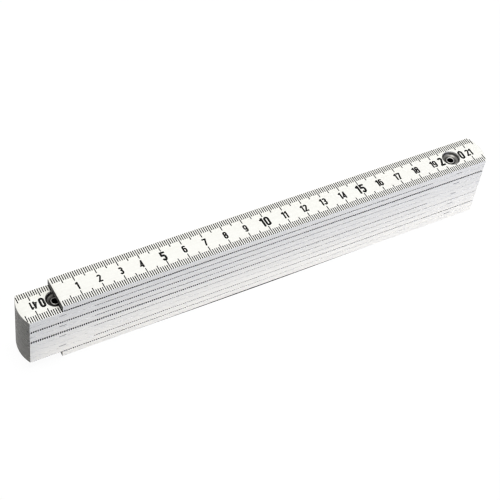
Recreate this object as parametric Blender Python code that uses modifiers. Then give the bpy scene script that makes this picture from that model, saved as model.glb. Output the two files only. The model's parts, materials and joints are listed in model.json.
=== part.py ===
"""A two metre folding rule, folded flat: ten lacquered wooden links on nine riveted hinges.

The links lie on top of each other, link_01 uppermost, and each one turns on the next about an
upright rivet. Odd hinges stand at the +X end of the stack and even hinges at the -X end. At every
hinge a steel plate is let into each of the two facing sides, and the plates carry the dimples and
dents that make the links click into place. On the outer sides a dished cup takes the rivet's
curled lip, so that nothing stands proud of the wood.
"""
import math

import bmesh
import bpy
from mathutils import Vector

MM = 0.001

# Links
LINK_COUNT = 10
HINGE_SPACING = 200.0 * MM
LINK_WIDTH = 16.0 * MM
LINK_THICKNESS = 3.3 * MM
LINK_GAP = 0.2 * MM
END_RADIUS = 16.8 * MM

# Clearances
SEAT_GAP = 0.1 * MM
RIVET_CLEARANCE = 0.15 * MM
PLATE_CLEARANCE = 0.35 * MM
DIMPLE_CLEARANCE = 0.1 * MM
OVERCUT = 0.5 * MM

# Hinge plates, one let into each facing side
PLATE_THICKNESS = 0.4 * MM
PLATE_SINK = 0.1 * MM
RECESS_BREAKOUT = 0.3 * MM
DIMPLE_CIRCLE_RADIUS = 5.2 * MM
DIMPLE_RADIUS = 1.0 * MM
DIMPLE_COUNT = 2
DENT_DEPTH = 0.2 * MM
DENT_COUNT = 4

# Rivet and dished cups
RIVET_BORE_RADIUS = 1.42 * MM
RIVET_WALL = 0.36 * MM
LIP_CURL_RADIUS = 0.42 * MM
CUP_RADIUS = 4.4 * MM
CUP_FLOOR_RADIUS = 2.8 * MM
CUP_WALL = 0.35 * MM
CUP_SINK = 0.05 * MM
NECK_WALL = 0.35 * MM
WOOD_WEB = 0.7 * MM

# Facets
END_ARC_STEPS = 8
PLATE_STEPS = 16
TURN_STEPS = 12
LIP_ARC_STEPS = 3
DIMPLE_STEPS = 6
DIMPLE_ARC_STEPS = 2
SMOOTH_ANGLE = math.radians(40)
FLAT_ANGLE = math.radians(1)
WELD = 0.000001

# Sizes that follow from those above
PITCH = LINK_THICKNESS + LINK_GAP
HINGE_COUNT = LINK_COUNT - 1
FACING_SIDE = LINK_GAP / 2
OUTER_SIDE = FACING_SIDE + LINK_THICKNESS
PLATE_NEAR = FACING_SIDE + PLATE_SINK
PLATE_FAR = PLATE_NEAR + PLATE_THICKNESS
RECESS_FLOOR = PLATE_FAR + SEAT_GAP
RECESS_RADIUS = LINK_WIDTH / 2 + RECESS_BREAKOUT
PLATE_RADIUS = RECESS_RADIUS - PLATE_CLEARANCE
DIMPLE_HEIGHT = 2 * PLATE_NEAR - DIMPLE_CLEARANCE
RIVET_RADIUS = RIVET_BORE_RADIUS + RIVET_WALL
NECK_BORE_RADIUS = RIVET_RADIUS + RIVET_CLEARANCE
NECK_RADIUS = NECK_BORE_RADIUS + NECK_WALL
NECK_END = PLATE_FAR + SEAT_GAP
DISH_FLOOR = RECESS_FLOOR + WOOD_WEB
CUP_UNDERSIDE = DISH_FLOOR + SEAT_GAP
CUP_FLOOR = CUP_UNDERSIDE + CUP_WALL
CUP_RIM = OUTER_SIDE - CUP_SINK
LIP_SEAT = CUP_FLOOR + SEAT_GAP
LIP_CENTRE_RADIUS = RIVET_BORE_RADIUS + LIP_CURL_RADIUS


def clear_scene():
    """Remove every object that the file opens with."""
    for old in list(bpy.data.objects):
        bpy.data.objects.remove(old, do_unlink=True)


def new_collection(name):
    """A collection of this name under the scene's own."""
    group = bpy.data.collections.new(name)
    bpy.context.scene.collection.children.link(group)
    return group


def new_material(name, colour, roughness, metallic):
    """A Principled material of one linear colour."""
    material = bpy.data.materials.new(name)
    material.use_nodes = True
    shader = material.node_tree.nodes["Principled BSDF"]
    shader.inputs["Base Color"].default_value = (*colour, 1.0)
    shader.inputs["Roughness"].default_value = roughness
    shader.inputs["Metallic"].default_value = metallic
    return material


def add_object(name, data, group, location, material):
    """One named object of a mesh or a curve, in its collection."""
    made = bpy.data.objects.new(name, data)
    made.location = location
    group.objects.link(made)
    if material:
        data.materials.append(material)
    return made


def make_cutter(tool):
    """Mark an object as a cutter, which is not part of the rule."""
    tool.hide_render = True
    tool.display_type = 'WIRE'
    return tool


def cut(piece, tool, operation='DIFFERENCE'):
    """Cut a piece by a tool, or join the tool to it."""
    modifier = piece.modifiers.new(tool.name, 'BOOLEAN')
    modifier.object = tool
    modifier.operation = operation
    modifier.solver = 'EXACT'


def evaluated_mesh(drawn):
    """The mesh of an object as its modifiers, or its curve settings, make it."""
    evaluated = drawn.evaluated_get(bpy.context.evaluated_depsgraph_get())
    return bpy.data.meshes.new_from_object(evaluated)


def finish(piece):
    """Apply a piece's modifiers and shade it smooth up to its sharp edges."""
    mesh = evaluated_mesh(piece)
    piece.modifiers.clear()
    piece.data = mesh
    mesh.name = piece.name
    mesh.shade_smooth()
    mesh.set_sharp_from_angle(angle=SMOOTH_ANGLE)


def flipped(profile):
    """The profile turned over, end to end, so that its outer side still runs downwards."""
    return [(radius, -height) for radius, height in reversed(profile)]


def turned(name, profile, group, location, steps, material=None, closed=True):
    """A profile of (radius, height) points turned about the Z axis by a Screw modifier."""
    mesh = bpy.data.meshes.new(name)
    count = len(profile)
    edges = [(index, index + 1) for index in range(count - 1)]
    if closed:
        edges.append((count - 1, 0))
    mesh.from_pydata([(radius, 0.0, height) for radius, height in profile], edges, [])
    made = add_object(name, mesh, group, location, material)
    screw = made.modifiers.new("Turn", 'SCREW')
    screw.axis = 'Z'
    screw.angle = math.tau
    screw.steps = steps
    screw.render_steps = steps
    screw.use_merge_vertices = True
    screw.merge_threshold = WELD
    screw.use_smooth_shade = True
    return made


def arc(centre_x, centre_y, radius, start, end, steps):
    """Points along an arc, both ends included."""
    turn = (end - start) / steps
    return [
        (centre_x + radius * math.cos(start + turn * step), centre_y + radius * math.sin(start + turn * step))
        for step in range(steps + 1)
    ]


def hinge_x(hinge):
    """Where a hinge stands: odd ones at the +X end, even ones at the -X end."""
    return HINGE_SPACING / 2 if hinge % 2 else -HINGE_SPACING / 2


def link_base(link):
    """Height of a link's underside. The last link lies on the ground."""
    return (LINK_COUNT - link) * PITCH


def hinge_height(hinge):
    """Height of the middle of the gap between a hinge's two links."""
    return link_base(hinge) - LINK_GAP / 2


def link_outline(link):
    """Outline of a link: round about each of its hinges, and square where it has none."""
    half_width = LINK_WIDTH / 2
    spread = math.asin(half_width / END_RADIUS)
    ends = {hinge_x(hinge) for hinge in (link - 1, link) if 1 <= hinge <= HINGE_COUNT}
    points = []
    for side, heading in ((1, 0.0), (-1, math.pi)):
        end_x = side * HINGE_SPACING / 2
        if end_x in ends:
            points += arc(end_x, 0.0, END_RADIUS, heading - spread, heading + spread, END_ARC_STEPS)
        else:
            points += [(end_x, -side * half_width), (end_x, side * half_width)]
    return points


def link_blank(link, group, material):
    """The uncut link: a flat outline, extruded to its thickness."""
    name = f"link_{link:02d}"
    curve = bpy.data.curves.new(name, 'CURVE')
    curve.dimensions = '2D'
    curve.fill_mode = 'BOTH'
    curve.extrude = LINK_THICKNESS / 2
    outline = link_outline(link)
    spline = curve.splines.new('POLY')
    spline.points.add(len(outline) - 1)
    for point, (x, y) in zip(spline.points, outline):
        point.co = (x, y, 0.0, 1.0)
    spline.use_cyclic_u = True
    drawn = add_object(name + "_outline", curve, group, (0.0, 0.0, 0.0), None)
    mesh = evaluated_mesh(drawn)
    bpy.data.objects.remove(drawn, do_unlink=True)
    welded = bmesh.new()
    welded.from_mesh(mesh)
    bmesh.ops.remove_doubles(welded, verts=welded.verts, dist=WELD)
    bmesh.ops.dissolve_limit(welded, angle_limit=FLAT_ANGLE, verts=welded.verts, edges=welded.edges)
    welded.to_mesh(mesh)
    welded.free()
    return add_object(name, mesh, group, (0.0, 0.0, link_base(link) + LINK_THICKNESS / 2), material)


def seat_profile():
    """What is cut from a link at a hinge: dish and bore from outside, plate recess from inside."""
    return [
        (0.0, OUTER_SIDE + OVERCUT),
        (CUP_RADIUS + SEAT_GAP, OUTER_SIDE + OVERCUT),
        (CUP_RADIUS + SEAT_GAP, CUP_RIM - SEAT_GAP),
        (CUP_FLOOR_RADIUS + CUP_WALL + SEAT_GAP, DISH_FLOOR),
        (NECK_RADIUS + SEAT_GAP, DISH_FLOOR),
        (NECK_RADIUS + SEAT_GAP, RECESS_FLOOR),
        (RECESS_RADIUS, RECESS_FLOOR),
        (RECESS_RADIUS, FACING_SIDE - OVERCUT),
        (0.0, FACING_SIDE - OVERCUT),
    ]


def cup_profile():
    """A dished cup: a cone down to a flat floor, and a neck through the wood to the plate."""
    return [
        (CUP_RADIUS, CUP_RIM),
        (CUP_FLOOR_RADIUS + CUP_WALL, CUP_UNDERSIDE),
        (NECK_RADIUS, CUP_UNDERSIDE),
        (NECK_RADIUS, NECK_END),
        (NECK_BORE_RADIUS, NECK_END),
        (NECK_BORE_RADIUS, CUP_FLOOR),
        (CUP_FLOOR_RADIUS, CUP_FLOOR),
        (CUP_RADIUS - CUP_WALL, CUP_RIM),
    ]


def rivet_profile():
    """A hollow rivet: a tube whose two ends curl outwards over the floors of the cups."""
    upper_lip = arc(LIP_CENTRE_RADIUS, LIP_SEAT, LIP_CURL_RADIUS, math.pi, 0.0, LIP_ARC_STEPS)
    lower_lip = flipped(upper_lip)
    return upper_lip + [(RIVET_RADIUS, LIP_SEAT), (RIVET_RADIUS, -LIP_SEAT)] + lower_lip


def plate_profile():
    """A flat ring round the rivet."""
    return [
        (PLATE_RADIUS, PLATE_FAR),
        (PLATE_RADIUS, PLATE_NEAR),
        (NECK_BORE_RADIUS, PLATE_NEAR),
        (NECK_BORE_RADIUS, PLATE_FAR),
    ]


def dome_profile(depth):
    """A shallow dome hanging from a plate's face, with a stub above that face to join or cut by."""
    ball = (DIMPLE_RADIUS ** 2 + depth ** 2) / (2 * depth)
    half_angle = math.asin(DIMPLE_RADIUS / ball)
    side = arc(0.0, ball - depth, ball, half_angle - math.pi / 2, -math.pi / 2, DIMPLE_ARC_STEPS)
    stub = PLATE_THICKNESS / 2
    return [(0.0, stub), (DIMPLE_RADIUS, stub)] + side[:-1] + [(0.0, -depth)]


def ring_of_domes(name, depth, count, face, centre, group):
    """Domes evenly spaced on the dimple circle, below a plate's face."""
    domes = []
    for index in range(count):
        angle = math.tau * index / count
        place = (
            centre[0] + DIMPLE_CIRCLE_RADIUS * math.cos(angle),
            centre[1] + DIMPLE_CIRCLE_RADIUS * math.sin(angle),
            centre[2] + face,
        )
        dome = turned(f"{name}_{index + 1}", dome_profile(depth), group, place, DIMPLE_STEPS, closed=False)
        domes.append(make_cutter(dome))
    return domes


def make_plate(hinge, upper, centre, groups, material):
    """One hinge plate: the upper one has dimples, and the lower one the dents they click into."""
    parts, cutters = groups
    side = "upper" if upper else "lower"
    profile = plate_profile() if upper else flipped(plate_profile())
    name = f"hinge_{hinge}_{side}_plate"
    plate = turned(name, profile, parts, centre, PLATE_STEPS, material)
    if upper:
        for dome in ring_of_domes(name + "_dimple", DIMPLE_HEIGHT, DIMPLE_COUNT, PLATE_NEAR, centre, cutters):
            cut(plate, dome, 'UNION')
    else:
        for dome in ring_of_domes(name + "_dent", DENT_DEPTH, DENT_COUNT, -PLATE_NEAR, centre, cutters):
            cut(plate, dome)
    return plate


def make_hinge(hinge, links, groups, materials):
    """Cut the seats of one hinge into its two links, and make the five pieces that fill them."""
    parts, cutters = groups
    centre = (hinge_x(hinge), 0.0, hinge_height(hinge))
    for link, profile in ((hinge, seat_profile()), (hinge + 1, flipped(seat_profile()))):
        name = f"link_{link:02d}_seat_{hinge}"
        seat = turned(name, profile, cutters, centre, PLATE_STEPS, closed=False)
        cut(links[link], make_cutter(seat))
    upper_cup = turned(f"hinge_{hinge}_upper_cup", cup_profile(), parts, centre, TURN_STEPS, materials["cup"])
    lower_cup = turned(
        f"hinge_{hinge}_lower_cup", flipped(cup_profile()), parts, centre, TURN_STEPS, materials["cup"]
    )
    rivet = turned(f"hinge_{hinge}_rivet", rivet_profile(), parts, centre, TURN_STEPS, materials["rivet"])
    upper_plate = make_plate(hinge, True, centre, groups, materials["plate"])
    lower_plate = make_plate(hinge, False, centre, groups, materials["plate"])
    return {hinge: [upper_cup, upper_plate, rivet], hinge + 1: [lower_cup, lower_plate]}


def make_pivots(carried, group):
    """Empties on the hinge axes, each carried by the next, so that a link takes along those above."""
    carrier = None
    carrier_place = Vector()
    for link in range(LINK_COUNT, 0, -1):
        place = Vector()
        if link <= HINGE_COUNT:
            place = Vector((hinge_x(link), 0.0, hinge_height(link)))
        pivot = bpy.data.objects.new(f"pivot_{link:02d}", None)
        group.objects.link(pivot)
        pivot.parent = carrier
        pivot.location = place - carrier_place
        for piece in carried[link]:
            piece.parent = pivot
            piece.location -= place
        carrier = pivot
        carrier_place = place


def main():
    """Build the folded rule."""
    clear_scene()
    parts = new_collection("folding_rule")
    cutters = new_collection("folding_rule_cutters")
    groups = (parts, cutters)
    lacquer = new_material("white lacquered wood", (0.93, 0.93, 0.9), 0.4, 0.0)
    materials = {
        "cup": new_material("nickelled steel cup", (0.42, 0.42, 0.41), 0.35, 1.0),
        "rivet": new_material("nickelled steel rivet", (0.5, 0.5, 0.49), 0.3, 1.0),
        "plate": new_material("spring steel plate", (0.35, 0.35, 0.35), 0.4, 1.0),
    }
    links = {link: link_blank(link, parts, lacquer) for link in range(1, LINK_COUNT + 1)}
    carried = {link: [blank] for link, blank in links.items()}
    for hinge in range(1, HINGE_COUNT + 1):
        for link, pieces in make_hinge(hinge, links, groups, materials).items():
            carried[link] += pieces
    for pieces in carried.values():
        for piece in pieces:
            finish(piece)
    make_pivots(carried, parts)


main()
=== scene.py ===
"""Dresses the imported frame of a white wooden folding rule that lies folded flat.

Ten lacquered links, nine riveted click hinges and a printed millimetre scale are worked out with numpy,
in the frame's own metres, and stand in for the plain solids of the frame.
"""
import json
import math

import bpy
import numpy as np
from mathutils import Matrix, Vector


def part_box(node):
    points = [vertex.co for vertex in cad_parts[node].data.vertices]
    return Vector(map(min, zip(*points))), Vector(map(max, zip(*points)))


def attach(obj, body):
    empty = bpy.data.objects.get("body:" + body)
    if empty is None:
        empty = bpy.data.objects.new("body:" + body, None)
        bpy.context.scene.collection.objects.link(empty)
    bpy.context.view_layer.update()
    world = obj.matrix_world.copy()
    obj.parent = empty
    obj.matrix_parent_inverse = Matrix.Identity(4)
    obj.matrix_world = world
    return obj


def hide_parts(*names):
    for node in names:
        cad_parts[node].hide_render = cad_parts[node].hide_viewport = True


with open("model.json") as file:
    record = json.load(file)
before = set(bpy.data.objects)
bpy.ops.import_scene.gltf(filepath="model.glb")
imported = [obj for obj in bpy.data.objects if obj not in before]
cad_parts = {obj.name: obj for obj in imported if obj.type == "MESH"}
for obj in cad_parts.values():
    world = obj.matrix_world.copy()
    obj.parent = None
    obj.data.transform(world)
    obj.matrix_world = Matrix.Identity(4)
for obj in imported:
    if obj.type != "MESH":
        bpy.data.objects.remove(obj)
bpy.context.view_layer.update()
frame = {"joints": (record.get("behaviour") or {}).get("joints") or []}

bl_info = {
    "name": "Folding rule",
    "version": (1, 0, 0),
    "blender": (4, 5, 0),
    "location": "View3D > Sidebar > Folding rule",
    "description": "Builds the links, hinges, printed scale and studio of a wooden folding rule",
    "category": "Object",
}

# Sizes that the frame gives, in metres
MM = 0.001
HINGE_AT = {int(joint["name"].split("_")[1]): np.array(joint["pos_m"]) for joint in frame["joints"]}
HINGES = sorted(HINGE_AT)
LINKS = range(1, len(HINGES) + 2)
FIRST_LINK = LINKS[0]
LAST_LINK = LINKS[-1]
LINK_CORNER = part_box("link_01")[1]
HINGE_X = HINGE_AT[1][0]
HALF_WIDTH = LINK_CORNER.y
END_RADIUS = LINK_CORNER.x - HINGE_X
CORNER_REACH = math.sqrt(END_RADIUS**2 - HALF_WIDTH**2)
STACK_TOP = LINK_CORNER.z
STACK_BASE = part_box(f"link_{LAST_LINK:02d}")[0].z

# Steps of the surfaces
END_STEPS = 24
SIDE_STEPS = 110
RELIEF_STEPS = 7
EDGE_STEPS = 4
TURN_STEPS = 72
FILLET_STEPS = 5
LIP_STEPS = 16
PLATE_STEPS = 14
BOWL_STEPS = 9
PAINTED_SHADOW_STEPS = 41

# Difference of the grain pattern from one link to the next
TONE_STEP = 3.7

# The printed scale counts in millimetres from the first link's free end
LINK_COUNTS = round(2 * HINGE_X / MM)
CENTIMETRE = 10
HALF_CENTIMETRE = 5


def linear(code):
    """Linear red, green and blue of an sRGB hex code."""
    encoded = np.array([int(code[place : place + 2], 16) for place in (1, 3, 5)]) / 255
    decoded = np.where(encoded <= 0.04045, encoded / 12.92, ((encoded + 0.055) / 1.055) ** 2.4)
    return tuple(float(channel) for channel in decoded)


def length(name, millimetres, description):
    """A length property, written in millimetres and kept in metres."""
    return bpy.props.FloatProperty(
        name=name, description=description, default=millimetres * MM, unit="LENGTH", precision=5
    )


def seam_lengths(name, millimetres, description):
    """A length property with one length for each seam, written in millimetres and kept in metres."""
    return bpy.props.FloatVectorProperty(
        name=name,
        description=description,
        default=[each * MM for each in millimetres],
        size=len(HINGES),
        unit="LENGTH",
        precision=5,
    )


def colour(name, code, description):
    """A colour property, written as an sRGB hex code and kept linear."""
    return bpy.props.FloatVectorProperty(
        name=name, description=description, default=linear(code), subtype="COLOR", size=3, min=0, max=1
    )


def angle(name, degrees, description):
    """An angle property, written in degrees and kept in radians."""
    return bpy.props.FloatProperty(
        name=name, description=description, default=math.radians(degrees), subtype="ANGLE", unit="ROTATION"
    )


def strength(name, value, description):
    """A plain number property for a lamp's power or a shader's strength."""
    return bpy.props.FloatProperty(name=name, description=description, default=value, min=0)


def place(name, metres, description):
    """A point property in metres."""
    return bpy.props.FloatVectorProperty(
        name=name, description=description, default=metres, subtype="XYZ", unit="LENGTH", size=3, precision=5
    )


class LinkSizes(bpy.types.PropertyGroup):
    """Sizes of the wooden links and of the seams between them"""

    edge_round: length("Edge rounding", 0.16, "Radius of the lacquered edges")
    hinge_seam: length("Seam at a hinge", 0.04, "Gap between two links beside their hinge")
    relief_start: length("Relief start", 13.6, "Distance from a hinge at which the relief begins")
    relief_full: length("Relief full", 15.6, "Distance from a hinge at which the relief is full")
    relieved_seams: seam_lengths(
        "Seams past the hinges",
        (0.48, 0.38, 0.3, 0.38, 0.42, 0.28, 0.26, 0.22, 0.12),
        "Gap of each seam, top to bottom, where the wood is planed back past its hinge",
    )
    seam_start: length("Seam start", 40, "Distance from a hinge at which its seam begins to change")
    seam_full: length("Seam full", 180, "Distance from a hinge at which its seam has its free end's gap")
    free_seams: seam_lengths(
        "Seams at the free ends",
        (0.86, 0.92, 0.46, 0.12, 0.52, 0.24, 0.04, 0.42, 0.28),
        "Gap of each seam, top to bottom, at the end away from its hinge",
    )
    seal_depth: length("Seal depth", 0.02, "Thickness of the dark varnish on the square-cut ends")
    bow_rise: length("Bow rise", 0.25, "Height of the lowest link's underside at the top of its bow")
    bow_middle: length("Bow middle", -6, "Place along X of the top of the bow")
    bow_reach: length("Bow reach", 80, "Distance along X from the top of the bow to its ends")


class HingeSizes(bpy.types.PropertyGroup):
    """Sizes of the pressed cups, hollow rivets and click plates"""

    cup_mouth: length("Cup mouth", 4.32, "Radius of the hole that the wood has above a cup")
    cup_radius: length("Cup radius", 4.25, "Outer radius of a pressed cup at its rim")
    cup_floor_radius: length("Cup floor radius", 3.72, "Radius of a cup's floor")
    cup_depth: length("Cup depth", 1.9, "Depth of a cup's floor at the rivet, below the face of its link")
    cup_slope: length("Cup slope", 0.4, "Rise of a cup's floor from the rivet to the wall")
    cup_sink: length("Cup sink", 0.3, "Distance of a cup's rim below the face of its link")
    cup_wall: length("Cup wall", 0.3, "Sheet thickness of a cup")
    rivet_bore: length("Rivet bore", 1.42, "Radius of the hole through a rivet")
    rivet_wall: length("Rivet wall", 0.36, "Wall of a rivet's tube")
    lip_round: length("Lip rounding", 0.33, "Radius of a rivet's curled lip in section")
    lip_rise: length("Lip rise", 0.12, "Height of a curled lip's end above the floor of its cup")
    plate_radius: length("Plate radius", 7.7, "Radius of a click plate")
    plate_bore: length("Plate bore", 2.3, "Radius of the hole in a click plate")
    plate_thickness: length("Plate thickness", 0.3, "Sheet thickness of a click plate")
    plate_gap: length("Plate gap", 0.05, "Distance of a plate from the middle of its seam")
    ear_length: length("Ear length", 3.2, "Length of an ear of the upper plate along its link")
    ear_height: length("Ear height", 0.55, "Height of the edge of an ear that shows in the link's side")
    ear_rise: length("Ear rise", 0.95, "Height of an ear's edge above the middle of the seam")
    dimple_circle: length("Dimple circle", 5.2, "Radius of the circle that the click dimples stand on")
    dimple_radius: length("Dimple radius", 1.0, "Radius of a click dimple")
    dimple_height: length("Dimple height", 0.08, "Height of a click dimple")
    # Width of the near-black round a rivet's lip: grime and painted shade in the groove of the cup
    grime_reach: length("Grime reach", 0.5, "Width of the grime round a rivet's lip")
    fit: length("Fit", 0.03, "Gap between a hinge piece and its seat in the wood")


class PrintSizes(bpy.types.PropertyGroup):
    """Sizes of the printed ticks and numbers"""

    tick_width: length("Tick width", 0.46, "Width of a tick")
    millimetre_tick: length("Millimetre tick", 3.1, "Length of a millimetre tick on the face")
    half_tick: length("Half tick", 4.35, "Length of a tick at half a centimetre")
    centimetre_tick: length("Centimetre tick", 5.15, "Length of a tick at a centimetre")
    face_reach: length("Face reach", 0.1, "Length of a tick round an edge of the outer faces")
    seam_reach: seam_lengths(
        "Seam reach",
        (0.05, 0.08, 0.42, 0.12, 0.54, 0.14, 0.04, 0.32, 0.3),
        "Length of a tick round the edges of each seam, top to bottom, at the -X end",
    )
    worn_length: length("Worn length", 120, "Distance from the -X hinges at which no tick reaches into a seam")
    small_number: length("Small number", 4.0, "Height of a number")
    large_number: length("Large number", 5.2, "Height of a number at each fifth centimetre")
    print_shift: length("Print shift", 0.12, "Distance of the print below the middle of its face")
    number_drop: length("Number drop", 0.1, "Distance of the numbers below the middle of the print")
    split_reach: length("Split reach", 5.75, "Distance of the digits of a split number from their hinge")
    ink_height: length("Ink height", 0.01, "Height of the ink above the lacquer")
    ink_bed: length("Ink bed", 0.003, "Depth of the ink's underside in the lacquer")


class RuleColours(bpy.types.PropertyGroup):
    """Colours of the finishes"""

    lacquer: colour("Lacquer", "#F4F4EF", "White lacquer of the links")
    grain: colour("Grain", "#E9E8E2", "Lacquer where it has sunk into the grain")
    end_grain: colour("End grain", "#D5D4D1", "Lacquer on the end grain of the rounded ends")
    ink: colour("Ink", "#060606", "Printing ink of the scale")
    ink_worn: colour("Worn ink", "#1C1C1B", "Printing ink where it is thin")
    seal: colour("End seal", "#343230", "Dark varnish of the square-cut ends")
    cup: colour("Cups", "#6A6967", "Nickel plate of the cups")
    rivet: colour("Rivets", "#979694", "Nickel plate of the rivets")
    plate: colour("Plates", "#A8A8AA", "Spring steel of the plates")
    stain: colour("Stain", "#413F3C", "Worn plating on the metal")
    # Near-black painted into the rivet bores and round the rivet lips: partly grime, partly painted shade
    grime: colour("Grime", "#0C0B0A", "Grime in the hollows of the metal")


class StudioSettings(bpy.types.PropertyGroup):
    """The camera, lamps and floor"""

    aim: place("Aim", (-5.46 * MM, 0.14 * MM, 17.44 * MM), "Point that the camera looks at")
    distance: length("Distance", 632.4, "Distance from the camera to its aim")
    azimuth: angle("Azimuth", -35.615, "Direction of the camera about the upright axis, from the front")
    elevation: angle("Elevation", 49.525, "Height of the camera above the horizon")
    roll: angle("Roll", 9.404, "Turn of the camera about its own view")
    lens: bpy.props.FloatProperty(
        name="Lens", description="Focal length of the camera", default=101.323, unit="CAMERA"
    )
    key_power: strength("Key power", 12.9, "Power of the lamp at the front right")
    key_place: place("Key place", (0.58, -1.12, 0.3), "Middle of the lamp at the front right")
    key_colour: colour("Key colour", "#EBEEFF", "Light of the lamp at the front right")
    top_power: strength("Top power", 2.23, "Strength of the even light from overhead")
    top_place: place("Top place", (0.15, 0.1, 1.6), "Direction of the even light from overhead")
    top_colour: colour("Top colour", "#FFFEFA", "Colour of the even light from overhead")
    top_spread: angle("Top spread", 27, "Width of the even light from overhead, as the rule sees it")
    fill_power: strength("Fill power", 2.3, "Power of the lamp at the back left")
    fill_place: place("Fill place", (-0.7, 0.55, 0.15), "Middle of the lamp at the back left")
    fill_colour: colour("Fill colour", "#FFFFFF", "Light of the lamp at the back left")
    back_power: strength("Back power", 7.0, "Power of the lamp at the back right")
    back_place: place("Back place", (0.45, 1.15, 0.3), "Middle of the lamp at the back right")
    back_colour: colour("Back colour", "#FFFFFF", "Light of the lamp at the back right")
    lamp_size: length("Lamp size", 750, "Width of the square soft lamps")
    pixel_width: strength("Pixel width", 1.33, "Width of the pixel filter, in pixels")
    sky: strength("Sky", 0.1, "Strength of the light from all round")
    sheet: colour("Sheet", "#F7F0E0", "Paper sheet in front of the rule, as the rule's light meets it")
    sheet_low: place("Sheet's near corner", (-0.117, -0.045, 0), "Near left corner of the paper sheet")
    sheet_high: place("Sheet's far corner", (0.2, 0.008, 0), "Far right corner of the paper sheet")
    # Painted shadow: the near-black colour of a floor strip under the lowest link's bow, and how far it reaches in
    # front of the link
    shade: colour("Shade", "#101010", "Paper in the shade of the lowest link's bow")
    shade_reach: length("Shade reach", 0.2, "Width of the shade in front of the lowest link")
    bench: colour("Bench", "#5A5A5A", "Bench round the paper sheet, as the rule's light meets it")
    bench_reach: length("Bench reach", 4000, "Half width of the bench")


# Meshes from arrays


def grid_quads(rows, columns, wrap_rows=True):
    """Quads of a grid of points, row by row, whose columns close into a ring and whose rows may too."""
    row = np.arange(rows if wrap_rows else rows - 1)[:, None]
    column = np.arange(columns)[None, :]
    next_row = (row + 1) % rows
    next_column = (column + 1) % columns
    corners = (
        row * columns + column,
        row * columns + next_column,
        next_row * columns + next_column,
        next_row * columns + column,
    )
    return np.stack(np.broadcast_arrays(*corners), axis=-1).reshape(-1, 4)


def new_object(name, points, faces):
    """A mesh object at the origin from points and lists of faces."""
    mesh = bpy.data.meshes.new(name)
    mesh.from_pydata(np.asarray(points, float).reshape(-1, 3), [], faces)
    mesh.update()
    made = bpy.data.objects.new(name, mesh)
    bpy.context.scene.collection.objects.link(made)
    return made


def finish_piece(piece, material, body, slot, *nodes, sharp=35):
    """Shades a piece, gives it its material, and lets it ride on its body in place of its nodes. Its slot is not
    used.
    """
    piece.data.shade_smooth()
    piece.data.set_sharp_from_angle(angle=math.radians(sharp))
    piece.data.materials.clear()
    piece.data.materials.append(material)
    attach(piece, body)
    if nodes:
        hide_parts(*nodes)


def combine(target, others, operation):
    """Cuts other solids out of a solid, or joins them to it, and removes them."""
    for other in others:
        boolean = target.modifiers.new("combine", "BOOLEAN")
        boolean.operation = operation
        boolean.object = other
    evaluated = target.evaluated_get(bpy.context.evaluated_depsgraph_get())
    combined = bpy.data.meshes.new_from_object(evaluated)
    plain = target.data
    target.modifiers.clear()
    target.data = combined
    combined.name = target.name
    bpy.data.meshes.remove(plain)
    for other in others:
        mesh = other.data
        bpy.data.objects.remove(other)
        bpy.data.meshes.remove(mesh)


def section_name(link):
    """Name of the body that a link belongs to."""
    return f"section_{link:02d}"


# Materials


def add_node(tree, kind, settings=None, inputs=None):
    """Adds a node, sets its own settings, and fills its inputs with values or with other nodes' outputs."""
    node = tree.nodes.new(kind)
    for name, value in (settings or {}).items():
        setattr(node, name, value)
    for socket, value in (inputs or {}).items():
        if isinstance(value, bpy.types.NodeSocket):
            tree.links.new(value, node.inputs[socket])
        else:
            node.inputs[socket].default_value = value
    return node


def new_material(name):
    """An empty node material with its output, as (material, tree, output)."""
    material = bpy.data.materials.new(name)
    material.use_nodes = True
    material.node_tree.nodes.clear()
    output = material.node_tree.nodes.new("ShaderNodeOutputMaterial")
    return material, material.node_tree, output


def opaque(rgb):
    """A colour property as the four numbers that a colour socket takes."""
    return (*rgb, 1.0)


def per_mm(*sizes):
    """Scale of a pattern whose features have these sizes in millimetres."""
    return tuple(1 / (size * MM) for size in sizes)


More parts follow.
